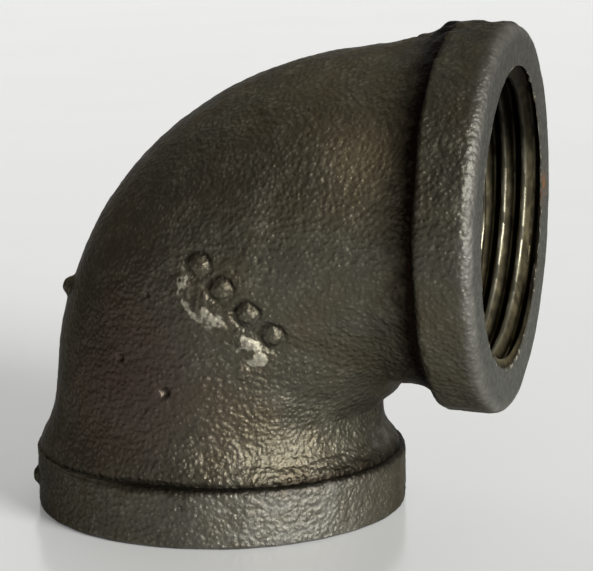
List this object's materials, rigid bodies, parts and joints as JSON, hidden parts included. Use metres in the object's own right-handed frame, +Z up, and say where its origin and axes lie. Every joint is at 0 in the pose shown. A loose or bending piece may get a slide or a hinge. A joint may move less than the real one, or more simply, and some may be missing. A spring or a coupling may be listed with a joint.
{
  "type": "pipe elbow",
  "caption": "Banded 90 degree elbow of black malleable iron, with an internal pipe thread at each outlet, standing on one outlet's face.",
  "frame": {"origin": "middle of the underside of the elbow's box; the two outlets' axes cross at x -4.925 mm, z 26.6 mm", "axes": "+Z up, against the bottom outlet's face; +X out of the side outlet; the mid plane of the bend is y = 0"},
  "size_m": [0.0434, 0.0336, 0.0433],
  "materials": {
    "cast_skin": "as cast, black, satin, fine sand grain",
    "side_band_skin": "as cast, dark grey, worn bright along the face's edge",
    "bottom_band_skin": "as cast, black, satin, worn in places"
  },
  "bodies": {
    "root": {"elbow_body": "cast_skin", "side_band": "side_band_skin", "bottom_band": "bottom_band_skin"}
  },
  "joints": []
}
